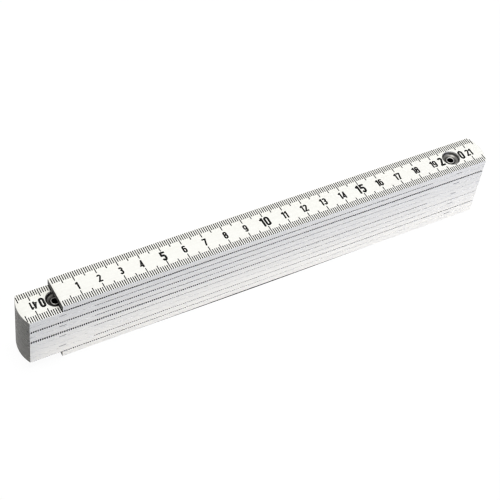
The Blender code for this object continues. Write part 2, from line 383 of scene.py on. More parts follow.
def lacquered_beech(colours):
    """White lacquer sprayed over planed beech.

    It gives the eye a satin white with fine grain lines along the link and a slight sink over each of them.
    """
    material, tree, output = new_material("white lacquer on beech")
    place = add_node(tree, "ShaderNodeTexCoord").outputs["Object"]
    tone = add_node(tree, "ShaderNodeAttribute", {"attribute_name": "tone"}).outputs["Fac"]
    lines = add_node(tree, "ShaderNodeMapping", inputs={"Vector": place, "Scale": per_mm(26, 0.7, 0.7)})
    grain = add_node(
        tree,
        "ShaderNodeTexNoise",
        {"noise_dimensions": "4D"},
        {"Vector": lines.outputs[0], "W": tone, "Scale": 1.0, "Detail": 4.0, "Roughness": 0.55},
    )
    clouds = add_node(tree, "ShaderNodeMapping", inputs={"Vector": place, "Scale": per_mm(60, 9, 9)})
    drift = add_node(
        tree,
        "ShaderNodeTexNoise",
        {"noise_dimensions": "4D"},
        {"Vector": clouds.outputs[0], "W": tone, "Scale": 1.0, "Detail": 2.0},
    )
    sunk = add_node(
        tree,
        "ShaderNodeMapRange",
        inputs={"Value": grain.outputs[0], 1: 0.42, 2: 0.72, 3: 0.0, 4: 0.4},
    )
    shade = add_node(
        tree,
        "ShaderNodeMix",
        {"data_type": "RGBA"},
        {0: sunk.outputs[0], 6: opaque(colours.lacquer), 7: opaque(colours.grain)},
    )
    cloudy = add_node(
        tree,
        "ShaderNodeMapRange",
        inputs={"Value": drift.outputs[0], 1: 0.3, 2: 0.7, 3: 0.985, 4: 1.0},
    )
    face = add_node(
        tree,
        "ShaderNodeMix",
        {"data_type": "RGBA", "blend_type": "MULTIPLY"},
        {0: 1.0, 6: shade.outputs[2], 7: cloudy.outputs[0]},
    )
    satin = add_node(
        tree,
        "ShaderNodeMapRange",
        inputs={"Value": grain.outputs[0], 1: 0.3, 2: 0.7, 3: 0.4, 4: 0.52},
    )
    relief = add_node(
        tree,
        "ShaderNodeBump",
        inputs={"Strength": 0.25, "Distance": 0.02 * MM, "Height": grain.outputs[0]},
    )
    surface = add_node(
        tree,
        "ShaderNodeBsdfPrincipled",
        inputs={
            "Base Color": face.outputs[2],
            "Roughness": satin.outputs[0],
            "Normal": relief.outputs[0],
            "Specular IOR Level": 0.35,
        },
    )
    tree.links.new(surface.outputs[0], output.inputs[0])
    return material


def lacquered_end_grain(colours):
    """White lacquer that has soaked into the end grain of beech: greyer and rougher, with open pores."""
    material, tree, output = new_material("white lacquer on end grain")
    place = add_node(tree, "ShaderNodeTexCoord").outputs["Object"]
    squeeze = add_node(tree, "ShaderNodeMapping", inputs={"Vector": place, "Scale": per_mm(0.8, 0.8, 0.3)})
    pores = add_node(
        tree, "ShaderNodeTexNoise", inputs={"Vector": squeeze.outputs[0], "Scale": 1.0, "Detail": 3.0}
    )
    depth = add_node(
        tree,
        "ShaderNodeMapRange",
        inputs={"Value": pores.outputs[0], 1: 0.35, 2: 0.7, 3: 1.0, 4: 0.82},
    )
    shade = add_node(
        tree,
        "ShaderNodeMix",
        {"data_type": "RGBA", "blend_type": "MULTIPLY"},
        {0: 1.0, 6: opaque(colours.end_grain), 7: depth.outputs[0]},
    )
    relief = add_node(
        tree,
        "ShaderNodeBump",
        inputs={"Strength": 0.3, "Distance": 0.03 * MM, "Height": pores.outputs[0]},
    )
    surface = add_node(
        tree,
        "ShaderNodeBsdfPrincipled",
        inputs={
            "Base Color": shade.outputs[2],
            "Roughness": 0.75,
            "Normal": relief.outputs[0],
            "Specular IOR Level": 0.15,
        },
    )
    tree.links.new(surface.outputs[0], output.inputs[0])
    return material


def printing_ink(colours):
    """Black ink rolled on from a printing plate: nearly matt, a little thin and grey in specks."""
    material, tree, output = new_material("black printing ink")
    place = add_node(tree, "ShaderNodeTexCoord").outputs["Object"]
    specks = add_node(
        tree,
        "ShaderNodeTexNoise",
        inputs={"Vector": place, "Scale": 1 / (0.5 * MM), "Detail": 3.0, "Roughness": 0.6},
    )
    thin = add_node(
        tree,
        "ShaderNodeMapRange",
        inputs={"Value": specks.outputs[0], 1: 0.5, 2: 0.75, 3: 0.0, 4: 1.0},
    )
    shade = add_node(
        tree,
        "ShaderNodeMix",
        {"data_type": "RGBA"},
        {0: thin.outputs[0], 6: opaque(colours.ink), 7: opaque(colours.ink_worn)},
    )
    gloss = add_node(
        tree,
        "ShaderNodeMapRange",
        inputs={"Value": specks.outputs[0], 1: 0.3, 2: 0.7, 3: 0.6, 4: 0.75},
    )
    surface = add_node(
        tree,
        "ShaderNodeBsdfPrincipled",
        inputs={
            "Base Color": shade.outputs[2],
            "Roughness": gloss.outputs[0],
            "Specular IOR Level": 0.1,
        },
    )
    tree.links.new(surface.outputs[0], output.inputs[0])
    return material


def end_varnish(colours):
    """Dark varnish brushed on the square-cut ends: smooth, with the pores of the end grain showing through."""
    material, tree, output = new_material("dark varnish on end grain")
    place = add_node(tree, "ShaderNodeTexCoord").outputs["Object"]
    pores = add_node(
        tree, "ShaderNodeTexNoise", inputs={"Vector": place, "Scale": 1 / (0.4 * MM), "Detail": 3.0}
    )
    depth = add_node(
        tree,
        "ShaderNodeMapRange",
        inputs={"Value": pores.outputs[0], 1: 0.35, 2: 0.7, 3: 1.25, 4: 0.75},
    )
    shade = add_node(
        tree,
        "ShaderNodeMix",
        {"data_type": "RGBA", "blend_type": "MULTIPLY"},
        {0: 1.0, 6: opaque(colours.seal), 7: depth.outputs[0]},
    )
    relief = add_node(
        tree,
        "ShaderNodeBump",
        inputs={"Strength": 0.3, "Distance": 0.03 * MM, "Height": pores.outputs[0]},
    )
    surface = add_node(
        tree,
        "ShaderNodeBsdfPrincipled",
        inputs={"Base Color": shade.outputs[2], "Roughness": 0.5, "Normal": relief.outputs[0]},
    )
    tree.links.new(surface.outputs[0], output.inputs[0])
    return material


def plated_steel(name, colours, shine, polish):
    """Steel with a thin nickel plate: a soft metallic grey, rubbed unevenly, with near-black where a piece has it,
    partly grime and partly painted shade.
    """
    material, tree, output = new_material(name)
    place = add_node(tree, "ShaderNodeTexCoord").outputs["Object"]
    rub = add_node(
        tree,
        "ShaderNodeTexNoise",
        inputs={"Vector": place, "Scale": 1 / (1.2 * MM), "Detail": 5.0, "Roughness": 0.6},
    )
    grit = add_node(
        tree, "ShaderNodeTexNoise", inputs={"Vector": place, "Scale": 1 / (0.12 * MM), "Detail": 2.0}
    )
    dull = add_node(
        tree,
        "ShaderNodeMapRange",
        inputs={"Value": rub.outputs[0], 1: 0.5, 2: 0.8, 3: 0.0, 4: 0.7},
    )
    shade = add_node(
        tree,
        "ShaderNodeMix",
        {"data_type": "RGBA"},
        {0: dull.outputs[0], 6: opaque(shine), 7: opaque(colours.stain)},
    )
    # Near-black mixed in by the grime attribute: grime and painted shade in the rivet bores and round the lips
    hollow = add_node(tree, "ShaderNodeAttribute", {"attribute_name": "grime"}).outputs["Fac"]
    soiled = add_node(
        tree,
        "ShaderNodeMix",
        {"data_type": "RGBA"},
        {0: hollow, 6: shade.outputs[2], 7: opaque(colours.grime)},
    )
    gloss = add_node(
        tree,
        "ShaderNodeMapRange",
        inputs={"Value": rub.outputs[0], 1: 0.3, 2: 0.8, 3: polish, 4: polish + 0.2},
    )
    relief = add_node(
        tree,
        "ShaderNodeBump",
        inputs={"Strength": 0.15, "Distance": 0.01 * MM, "Height": grit.outputs[0]},
    )
    surface = add_node(
        tree,
        "ShaderNodeBsdfPrincipled",
        inputs={
            "Base Color": soiled.outputs[2],
            "Metallic": 1.0,
            "Roughness": gloss.outputs[0],
            "Normal": relief.outputs[0],
        },
    )
    tree.links.new(surface.outputs[0], output.inputs[0])
    return material


def studio_paper(name, rgb):
    """Matt paper that the camera and reflections see as white, with the object's faint shadow left on it."""
    material, tree, output = new_material(name)
    path = add_node(tree, "ShaderNodeLightPath").outputs
    seen = add_node(
        tree,
        "ShaderNodeMath",
        {"operation": "ADD", "use_clamp": True},
        {0: path["Is Camera Ray"], 1: path["Is Glossy Ray"]},
    )
    seen = add_node(
        tree,
        "ShaderNodeMath",
        {"operation": "ADD", "use_clamp": True},
        {0: seen.outputs[0], 1: path["Is Transmission Ray"]},
    )
    lit = add_node(tree, "ShaderNodeBsdfDiffuse", inputs={"Color": opaque(rgb)})
    shadow = add_node(tree, "ShaderNodeBsdfDiffuse", inputs={"Color": (0.07, 0.07, 0.07, 1.0)})
    glow = add_node(tree, "ShaderNodeEmission", inputs={"Color": (0.94, 0.94, 0.94, 1.0), "Strength": 1.0})
    paper = add_node(tree, "ShaderNodeAddShader", inputs={0: shadow.outputs[0], 1: glow.outputs[0]})
    shown = add_node(
        tree, "ShaderNodeMixShader", inputs={0: seen.outputs[0], 1: lit.outputs[0], 2: paper.outputs[0]}
    )
    tree.links.new(shown.outputs[0], output.inputs[0])
    return material


# Seams and faces of the links


def smooth_step(values, start, end):
    """A smooth rise from nought at the start to one at the end: three squares less two cubes of the share."""
    share = np.clip((values - start) / (end - start), 0, 1)
    return share**2 * (3 - 2 * share)


def seam_gap(links, hinge, x):
    """Gap between two neighbouring links: narrow at their hinge, then one gap past it and another far off."""
    away = np.abs(x - HINGE_AT[hinge][0])
    past = smooth_step(away, links.relief_start, links.relief_full)
    far = smooth_step(away, links.seam_start, links.seam_full)
    planed = links.relieved_seams[hinge - 1] * (1 - far) + links.free_seams[hinge - 1] * far
    return links.hinge_seam * (1 - past) + planed * past


def bow_share(links, x):
    """Share of the lowest link's bow at x: the square of a cosine, one at the top and nought at the ends."""
    away = np.clip((x - links.bow_middle) / links.bow_reach, -1, 1)
    return np.cos(away * math.pi / 2) ** 2


def face_height(links, link, side, x):
    """Height of a link's upper (side 1) or lower (side -1) face at x, half a seam from the seam's middle."""
    if link == FIRST_LINK and side > 0:
        return np.full_like(x, STACK_TOP)
    if link == LAST_LINK and side < 0:
        return STACK_BASE + links.bow_rise * bow_share(links, x)
    hinge = link - 1 if side > 0 else link
    return HINGE_AT[hinge][2] - side * seam_gap(links, hinge, x) / 2


def is_square(link):
    """Whether a link's end at -X is the square-cut end of the rule."""
    return link in (FIRST_LINK, LAST_LINK)


def side_shares(links, left, right):
    """Shares of a side's length for its points: even steps, and closer ones where the wood is planed back."""
    even = np.linspace(0, 1, SIDE_STEPS + 1)[1:-1]
    bend = HINGE_X - np.linspace(links.relief_start, links.relief_full, RELIEF_STEPS)
    close = (np.concatenate([bend, -bend]) - left) / (right - left)
    return np.unique(np.concatenate([even, close]))


def link_solid(links, link):
    """Points and faces of a link.

    The outline's -Y half runs from left to right: an arc about the left hinge, or a square end, then the
    straight side, then an arc about the right hinge. It is drawn once for each inset of a quarter-round
    edge at the bottom and at the top, mirrored to +Y, and lofted from the bottom loop to the top loop.
    The caps are strips across the width.
    """
    quarter = np.linspace(0, math.pi / 2, EDGE_STEPS + 1)
    inset = links.edge_round * (1 - np.sin(quarter))
    rise = links.edge_round * (1 - np.cos(quarter))
    inset = np.concatenate([inset, inset[::-1]])[:, None]
    rise = np.concatenate([rise, rise[::-1]])[:, None]
    half_width = HALF_WIDTH - inset
    radius = END_RADIUS - inset
    turn = np.arcsin(half_width / radius) * np.linspace(0, 1, END_STEPS + 1)
    left_x = -HINGE_X - radius * np.cos(turn)
    left_y = -radius * np.sin(turn)
    if is_square(link):
        left_x = -HINGE_X + inset
        left_y = -half_width
    right_x = HINGE_X + radius * np.cos(turn[:, ::-1])
    right_y = -radius * np.sin(turn[:, ::-1])
    share = side_shares(links, left_x[EDGE_STEPS, -1], right_x[EDGE_STEPS, 0])
    side_x = left_x[:, -1:] + share * (right_x[:, :1] - left_x[:, -1:])
    side_y = np.broadcast_to(-half_width, side_x.shape)
    half_x = np.concatenate([left_x, side_x, right_x], axis=1)
    half_y = np.concatenate([left_y, side_y, right_y], axis=1)
    count = half_x.shape[1]
    first = 0 if is_square(link) else 1
    back = np.arange(count - 2, first - 1, -1)
    x = np.concatenate([half_x, half_x[:, back]], axis=1)
    y = np.concatenate([half_y, -half_y[:, back]], axis=1)
    lower = face_height(links, link, -1, x) + rise
    upper = face_height(links, link, 1, x) - rise
    is_upper = np.arange(len(inset))[:, None] > EDGE_STEPS
    points = np.stack([x, y, np.where(is_upper, upper, lower)], axis=-1)
    rows, columns = x.shape
    near = np.arange(first, count - 2)
    across = 2 * count - 2
    strips = np.stack([near, near + 1, across - near - 1, across - near], axis=1) % columns
    tips = [[count - 2, count - 1, count]]
    if not is_square(link):
        tips.append([0, 1, columns - 1])
    top = (rows - 1) * columns
    faces = grid_quads(rows, columns, wrap_rows=False).tolist()
    faces += (strips + top).tolist() + strips[:, ::-1].tolist()
    faces += [[top + corner for corner in tip] for tip in tips] + [tip[::-1] for tip in tips]
    return points, faces


# Turned pieces of the hinges


def filleted(corners):
    """A closed outline from (radius, height, fillet) corners, each rounded by a parabola between its tangents."""
    corners = np.array(corners)
    place = corners[:, :2]
    before = np.roll(place, 1, axis=0) - place
    after = np.roll(place, -1, axis=0) - place
    span_before = np.linalg.norm(before, axis=1, keepdims=True)
    span_after = np.linalg.norm(after, axis=1, keepdims=True)
    reach = np.minimum(corners[:, 2:], 0.45 * np.minimum(span_before, span_after))
    start = place + before / span_before * reach
    end = place + after / span_after * reach
    share = np.linspace(0, 1, FILLET_STEPS)[None, :, None]
    bend = (1 - share) ** 2 * start[:, None] + 2 * share * (1 - share) * place[:, None] + share**2 * end[:, None]
    return bend.reshape(-1, 2)


def turned(profile, hinge, side, steps=TURN_STEPS):
    """A closed (radius, height) loop turned about a hinge's axis, its heights counted away from the seam."""
    radius, height = np.array(profile).T
    height = height * side
    area = np.sum(radius * np.roll(height, -1) - np.roll(radius, -1) * height)
    if area < 0:
        radius = radius[::-1]
        height = height[::-1]
    turn = np.linspace(0, 2 * math.pi, steps, endpoint=False)
    place = (radius[:, None] * np.cos(turn), radius[:, None] * np.sin(turn), height[:, None])
    points = np.stack(np.broadcast_arrays(*place), axis=-1) + HINGE_AT[hinge]
    return points, grid_quads(len(radius), steps).tolist()


def plug(profile, hinge, side):
    """An open (radius, height) line turned about a hinge's axis and closed by flat discs: a cutter for a seat."""
    radius, height = np.array(profile).T
    height = height * side
    if side < 0:
        radius = radius[::-1]
        height = height[::-1]
    turn = np.linspace(0, 2 * math.pi, TURN_STEPS, endpoint=False)
    place = (radius[:, None] * np.cos(turn), radius[:, None] * np.sin(turn), height[:, None])
    points = np.stack(np.broadcast_arrays(*place), axis=-1) + HINGE_AT[hinge]
    faces = grid_quads(len(radius), TURN_STEPS, wrap_rows=False).tolist()
    ring = list(range(TURN_STEPS))
    last = (len(radius) - 1) * TURN_STEPS
    return points, faces + [ring[::-1], [last + corner for corner in ring]]


def axis_distance(points, hinge):
    """Distance of points from a hinge's axis."""
    return np.linalg.norm((points - HINGE_AT[hinge])[..., :2], axis=-1)


def add_grime(piece, shares):
    """Gives a piece's points their shares of near-black colour: grime and painted shade in the metal's hollows."""
    grime = piece.data.attributes.new("grime", "FLOAT", "POINT")
    grime.data.foreach_set("value", np.asarray(shares, float).ravel())


def outer_reach(links, hinge, side):
    """Height of the outer face of a hinge's upper or lower link above the middle of its seam."""
    x, _, middle = HINGE_AT[hinge]
    link = hinge if side > 0 else hinge + 1
    return side * (float(face_height(links, link, side, np.array([x]))[0]) - middle)


def seat_profile(links, sizes, hinge, side):
    """Line of the seat that a link has for its hinge: plate seat, bore, seat of the cup, then the cup's mouth."""
    outer = outer_reach(links, hinge, side)
    seat_radius = sizes.plate_radius + sizes.fit
    seat_depth = sizes.plate_gap + sizes.plate_thickness + sizes.fit
    bore = sizes.rivet_bore + sizes.rivet_wall + sizes.cup_wall + 2 * sizes.fit
    under = outer - sizes.cup_depth - sizes.cup_wall - sizes.fit
    rim = outer - sizes.cup_sink
    overcut = sizes.cup_wall
    return [
        (seat_radius, -overcut),
        (seat_radius, seat_depth),
        (bore, seat_depth),
        (bore, under),
        (sizes.cup_floor_radius + sizes.cup_wall + sizes.fit, under + sizes.cup_slope),
        (sizes.cup_radius + sizes.fit, rim - sizes.cup_wall),
        (sizes.cup_radius + sizes.fit, rim),
        (sizes.cup_mouth, outer),
        (sizes.cup_mouth, outer + overcut),
    ]


def cup_profile(links, sizes, hinge, side):
    """Section of a pressed cup: a neck round the rivet, a sloping floor, a steep wall and a rolled rim."""
    outer = outer_reach(links, hinge, side)
    wall = sizes.cup_wall
    rim = outer - sizes.cup_sink
    floor = outer - sizes.cup_depth
    neck_bore = sizes.rivet_bore + sizes.rivet_wall + sizes.fit
    neck_end = sizes.plate_gap + sizes.plate_thickness + 2 * sizes.fit
    return filleted(
        [
            (neck_bore, neck_end, wall / 4),
            (neck_bore + wall, neck_end, wall / 4),
            (neck_bore + wall, floor - wall, wall / 2),
            (sizes.cup_floor_radius + wall, floor + sizes.cup_slope - wall, wall),
            (sizes.cup_radius, rim - wall, wall / 2),
            (sizes.cup_radius, rim, wall / 2),
            (sizes.cup_radius - wall, rim, 1.2 * wall),
            (sizes.cup_floor_radius, floor + sizes.cup_slope, 1.5 * wall),
            (neck_bore, floor, wall / 4),
        ]
    )


def rivet_profile(links, sizes, hinge):
    """Section of a hollow rivet: a straight tube whose two ends are curled outwards as half rounds."""
    tube = sizes.rivet_bore + sizes.rivet_wall
    lip_centre = sizes.rivet_bore + sizes.lip_round
    upper = outer_reach(links, hinge, 1) - sizes.cup_depth + sizes.lip_rise
    lower = -(outer_reach(links, hinge, -1) - sizes.cup_depth + sizes.lip_rise)
    sweep = np.linspace(0, math.pi, LIP_STEPS)
    curl_radius = lip_centre + sizes.lip_round * np.cos(sweep)
    curl_height = sizes.lip_round * np.sin(sweep)
    over = np.stack([curl_radius, upper + curl_height], axis=1)
    under = np.stack([curl_radius[::-1], lower - curl_height], axis=1)
    return np.concatenate([[(tube, lower), (tube, upper)], over, under])


def plate_surface(sizes, hinge, side):
    """A click plate: a disc with a hole, pressed where a ring of bells stands on the dimple circle.

    The upper plate has two dimples that point at the seam, and the lower plate four dents that take them.
    A bell's height falls from one to nothing as half a cosine wave over the dimple's radius.
    """
    radii = np.linspace(sizes.plate_bore, sizes.plate_radius, PLATE_STEPS)
    seam_face = np.stack([radii, np.full(PLATE_STEPS, sizes.plate_gap)], axis=1)
    back_face = seam_face[::-1] + (0, sizes.plate_thickness)
    points, faces = turned(np.concatenate([seam_face, back_face]), hinge, side)
    bells = 2 if side > 0 else 4
    spread = points[..., :2] - HINGE_AT[hinge][:2]
    for turn in np.arange(bells) * 2 * math.pi / bells:
        centre = sizes.dimple_circle * np.array([math.cos(turn), math.sin(turn)])
        away = np.linalg.norm(spread - centre, axis=-1) / sizes.dimple_radius
        points[..., 2] -= sizes.dimple_height * (1 + np.cos(math.pi * np.minimum(away, 1))) / 2
    return points, faces


def ear_solid(sizes, hinge, edge, slot=False):
    """An ear of an upper click plate at one side of its link, or a looser solid that cuts the wood for it.

    Its section is an upright stem on the plate and a tongue from the stem out to the side, and it is drawn
    at both ends of the ear's length.
    """
    loose = sizes.fit if slot else 0
    foot = -sizes.plate_thickness if slot else sizes.plate_gap + sizes.plate_thickness / 2
    inner = sizes.plate_radius - 2 * sizes.plate_thickness - loose
    stem = sizes.plate_radius - sizes.plate_thickness + loose
    side = HALF_WIDTH + sizes.plate_thickness if slot else HALF_WIDTH - sizes.fit
    base = sizes.ear_rise - sizes.ear_height / 2 - loose
    top = sizes.ear_rise + sizes.ear_height / 2 + loose
    section = [(inner, foot), (stem, foot), (stem, base), (side, base), (side, top), (inner, top)]
    y, z = np.array(section[::edge]).T
    count = len(section)
    half = sizes.ear_length / 2 + loose
    x = np.array([-half, half])[:, None]
    points = np.stack(np.broadcast_arrays(x, edge * y, z), axis=-1) + HINGE_AT[hinge]
    near = list(range(count))
    faces = grid_quads(2, count, wrap_rows=False).tolist()
    return points, faces + [near[::-1], [count + corner for corner in near]]


# The printed scale


def printed_face(link, side):
    """Number of the scale stretch on a face: its own on a link's upper face, counted back from the end below."""
    return link if side > 0 else LAST_LINK + 1 - link


def counts_of(stretch):
    """Millimetres past the start of a stretch that are printed on a face with a straight edge beside them."""
    first = 1 if stretch == FIRST_LINK else math.ceil(CORNER_REACH / MM)
    last = LINK_COUNTS - 1 if stretch == LAST_LINK else LINK_COUNTS + math.floor(CORNER_REACH / MM)
    return np.arange(first, last + 1)


def place_of(stretch, counts):
    """Positions along X of millimetre counts: stretches run to +X and back to -X by turns."""
    forward = 1 if stretch % 2 else -1
    return forward * (counts * MM - HINGE_X)


def print_offset(sizes, stretch, side):
    """Shift in Y of the print on a face, which reads from -Y on odd stretches and from +Y on even ones."""
    return -side * sizes.print_shift * (1 if stretch % 2 else -1)


def tick_starts(sizes, hinges, stretch, counts, shift):
    """Distance of each tick's inner end from the middle: by its count, and no nearer than the rim of a cup."""
    value = (stretch - 1) * LINK_COUNTS + counts
    tall = np.where(value % HALF_CENTIMETRE == 0, sizes.half_tick, sizes.millimetre_tick)
    tall = np.where(value % CENTIMETRE == 0, sizes.centimetre_tick, tall)
    past_hinge = (counts - LINK_COUNTS) * MM
    rim = hinges.cup_mouth + hinges.fit
    return np.maximum(HALF_WIDTH - tall + shift, np.sqrt(np.maximum(rim**2 - past_hinge**2, 0)))


def edge_reach(sizes, link, side, shift, x):
    """Length of the ticks at x round an edge: as they were rolled on at a face, and worn towards +X in a seam."""
    hinge = link - 1 if side > 0 else link
    if hinge not in HINGE_AT:
        return np.full_like(x, max(sizes.face_reach + shift, sizes.ink_height))
    worn = (x + HINGE_X) / sizes.worn_length
    return np.maximum(sizes.seam_reach[hinge - 1] * (1 - worn), sizes.ink_height)


def ribbon_faces(copies, steps):
    """Quads of closed ribbons of four-cornered sections, one ribbon after another."""
    row = np.arange(steps - 1)[:, None]
    corner = np.arange(4)[None, :]
    following = (corner + 1) % 4
    walls = np.stack(
        np.broadcast_arrays(
            row * 4 + corner, row * 4 + following, (row + 1) * 4 + following, (row + 1) * 4 + corner
        ),
        axis=-1,
    ).reshape(-1, 4)
    last = (steps - 1) * 4
    ends = np.array([[3, 2, 1, 0], [last, last + 1, last + 2, last + 3]])
    one = np.concatenate([walls, ends])
    return (one[None] + (np.arange(copies) * steps * 4)[:, None, None]).reshape(-1, 4)


def tick_ribbons(links, sizes, hinges, link, side, edge):
    """Ink of the ticks along one edge of a face.

    A tick's section is a flat box. It is carried along the face to the edge, then by its reach round the
    quarter-round and down the side, with the box's flat side kept on the lacquer.
    """
    stretch = printed_face(link, side)
    counts = counts_of(stretch)
    x = place_of(stretch, counts)
    shift = edge * print_offset(sizes, stretch, side)
    rounding = links.edge_round
    reach = edge_reach(sizes, link, side, shift, x)[:, None]
    bend = np.minimum(reach / rounding, math.pi / 2) * np.linspace(0, 1, 4)
    down = np.maximum(reach - rounding * math.pi / 2, sizes.ink_height)
    inner = tick_starts(sizes, hinges, stretch, counts, shift)[:, None]
    bend_y = HALF_WIDTH - rounding + rounding * np.sin(bend)
    bend_z = rounding * (np.cos(bend) - 1)
    last = bend[:, -1:]
    level = np.zeros_like(inner)
    path_y = np.concatenate([inner, bend_y, bend_y[:, -1:] + down * np.cos(last)], axis=1)
    path_z = np.concatenate([level, bend_z, bend_z[:, -1:] - down * np.sin(last)], axis=1)
    tilt = np.concatenate([level, bend, last], axis=1)[:, :, None]
    lift = np.array([-sizes.ink_bed, -sizes.ink_bed, sizes.ink_height, sizes.ink_height])
    sway = np.array([-1, 1, 1, -1]) * sizes.tick_width / 2
    tick_x = x[:, None, None] + sway
    tick_y = path_y[:, :, None] + np.sin(tilt) * lift
    tick_z = path_z[:, :, None] + np.cos(tilt) * lift
    height = face_height(links, link, side, tick_x) + side * tick_z
    corners = np.stack(np.broadcast_arrays(tick_x, edge * tick_y, height), axis=-1)
    faces = ribbon_faces(len(x), path_y.shape[1])
    if side * edge > 0:
        faces = faces[:, ::-1]
    return corners.reshape(-1, 3), faces


def end_ticks(links, sizes, link, side):
    """Ink of the two ticks past the corners of a rounded end, which the arc cuts short."""
    stretch = printed_face(link, side)
    count = LINK_COUNTS + math.ceil(CORNER_REACH / MM)
    x = place_of(stretch, np.array([count]))[0]
    past_hinge = (count - LINK_COUNTS) * MM
    outer = math.sqrt(END_RADIUS**2 - (past_hinge + sizes.tick_width / 2) ** 2) - links.edge_round
    edges = np.array([-1, 1])[:, None, None]
    inner = HALF_WIDTH - sizes.half_tick + edges * print_offset(sizes, stretch, side)
    run = np.concatenate([inner, np.full_like(inner, outer)], axis=1)
    lift = np.array([-sizes.ink_bed, -sizes.ink_bed, sizes.ink_height, sizes.ink_height])
    sway = np.array([-1, 1, 1, -1]) * sizes.tick_width / 2
    corner_x = x + sway * edges * side
    height = face_height(links, link, side, corner_x) + side * lift
    corners = np.stack(np.broadcast_arrays(corner_x, edges * run, height), axis=-1)
    return corners.reshape(-1, 3), ribbon_faces(2, 2)


# Digits, on a unit of height


DIGIT_WIDTH = 0.495
DIGIT_STROKE = 0.195
THIN_STROKE = 0.15
WIDE_SPACE = 0.06
TIGHT_SPACE = 0.02
ONE_WIDTH = 0.33
FOUR_SHIFT = 0.16


def bow(centre, radii, start, end):
    """Points of an elliptic arc from one angle to another, in degrees."""
    sweep = np.radians(np.linspace(start, end, BOWL_STEPS))
    return np.stack([centre[0] + radii[0] * np.cos(sweep), centre[1] + radii[1] * np.sin(sweep)], axis=1)


def oval(middle, level, reach, rise):
    """Closed line with straight sides, a reach to each side of its middle, and half-round ends at its rise."""
    top = bow((middle, level + rise - reach), (reach, reach), 0, 180)
    base = bow((middle, level - rise + reach), (reach, reach), 180, 360)
    return np.concatenate([top, base])


def digit_strokes(digit):
    """Centre lines of a digit's strokes in narrow upright forms: (points, closed) and, where it differs, a width."""
    half = DIGIT_STROKE / 2
    reach = DIGIT_WIDTH / 2 - half
    middle = DIGIT_WIDTH / 2
    right = DIGIT_WIDTH
    crown = 1 - half
    if digit == 0:
        return [(oval(middle, 0.5, reach, 0.5 - half), True)]
    if digit == 1:
        stem = ONE_WIDTH - half
        flag = [(0.02, 0.735), (stem, 0.91)]
        return [(np.array([(stem, 0), (stem, 1)]), False), (np.array(flag), False)]
    if digit == 2:
        hook = bow((middle, crown - reach), (reach, reach), 172, -28)
        foot = [(half + 0.035, half + 0.035)]
        return [(np.concatenate([hook, foot]), False), (np.array([(0, half), (right, half)]), False)]
    if digit == 3:
        waist = 0.535
        upper = (crown - waist) / 2
        lower = (waist - half) / 2
        join = [(middle - 0.07, waist)]
        top = bow((middle, waist + upper), (0.94 * reach, upper), 160, -90)
        base = bow((middle, waist - lower), (reach, lower), 90, -160)
        return [(np.concatenate([top, join]), False), (np.concatenate([join, base]), False)]
    if digit == 4:
        stem = 0.74 * right
        bar = 0.23
        slope = [(0.8 * THIN_STROKE, bar), (stem - 0.01, 0.955)]
        return [
            (np.array([(stem, 0), (stem, 1)]), False),
            (np.array([(0, bar), (right, bar)]), False, THIN_STROKE),
            (np.array(slope), False, THIN_STROKE),
        ]
    if digit == 5:
        rise = (0.62 - half) / 2
        bowl = bow((middle, half + rise), (reach, rise), 140, -160)
        return [
            (np.array([(half, 0.5), (half, 1)]), False),
            (np.array([(half, crown), (right - 0.03, crown)]), False),
            (bowl, False),
        ]
    if digit == 6:
        rise = 0.25
        hook = bow((middle, crown - reach), (reach, reach), 180, 12)
        leg = np.concatenate([[(half, half + rise)], hook])
        return [(oval(middle, half + rise, reach, rise), True), (leg, False)]
    if digit == 7:
        slope = [(right - half, crown), (0.66 * right, 0.6), (0.5 * right, 0.3), (0.42 * right, 0)]
        return [(np.array([(0, crown), (right, crown)]), False), (np.array(slope), False)]
    if digit == 8:
        upper = 0.2
        lower = 0.235
        top = oval(middle, crown - upper, 0.94 * reach, upper)
        base = oval(middle, half + lower, reach, lower)
        return [(top, True), (base, True)]
    return [((right, 1) - points, closed) for points, closed in digit_strokes(6)]


def stroke_solid(points, closed, width=DIGIT_STROKE):
    """A stroke one unit thick: its centre line offset by half a width to both sides, square at open ends."""
    after = np.roll(points, -1, axis=0) - points
    before = points - np.roll(points, 1, axis=0)
    if not closed:
        after[-1] = before[-1]
        before[0] = after[0]
    after = after / np.linalg.norm(after, axis=1, keepdims=True)
    before = before / np.linalg.norm(before, axis=1, keepdims=True)
    normal = np.stack([-(after + before)[:, 1], (after + before)[:, 0]], axis=1)
    normal = normal / np.linalg.norm(normal, axis=1, keepdims=True)
    lean = np.sum(normal * np.stack([-after[:, 1], after[:, 0]], axis=1), axis=1, keepdims=True)
    offset = normal / lean * width / 2
    left = np.concatenate([points + offset, np.zeros((len(points), 1))], axis=1)
    right = np.concatenate([points - offset, np.zeros((len(points), 1))], axis=1)
    section = np.stack([right, left, left + (0, 0, 1), right + (0, 0, 1)], axis=1)
    if closed:
        return section, grid_quads(len(points), 4).tolist()
    return section, ribbon_faces(1, len(points)).tolist()


def digit_template(digit):
    """Points and triangles of one digit, its strokes joined into one solid a unit high and a unit thick."""
    strokes = [
        new_object(f"digit_{digit}_stroke_{part}", *stroke_solid(*stroke))
        for part, stroke in enumerate(digit_strokes(digit))
    ]
    if len(strokes) > 1:
        combine(strokes[0], strokes[1:], "UNION")
    mesh = strokes[0].data
    points = np.empty(len(mesh.vertices) * 3)
    mesh.vertices.foreach_get("co", points)
    mesh.calc_loop_triangles()
    triangles = np.empty(len(mesh.loop_triangles) * 3, dtype=int)
    mesh.loop_triangles.foreach_get("vertices", triangles)
    bpy.data.objects.remove(strokes[0])
    bpy.data.meshes.remove(mesh)
    return points.reshape(-1, 3), triangles.reshape(-1, 3)


def digit_advance(digit):
    """Width that a digit takes in a number, on the unit of height."""
    return ONE_WIDTH if digit == 1 else DIGIT_WIDTH


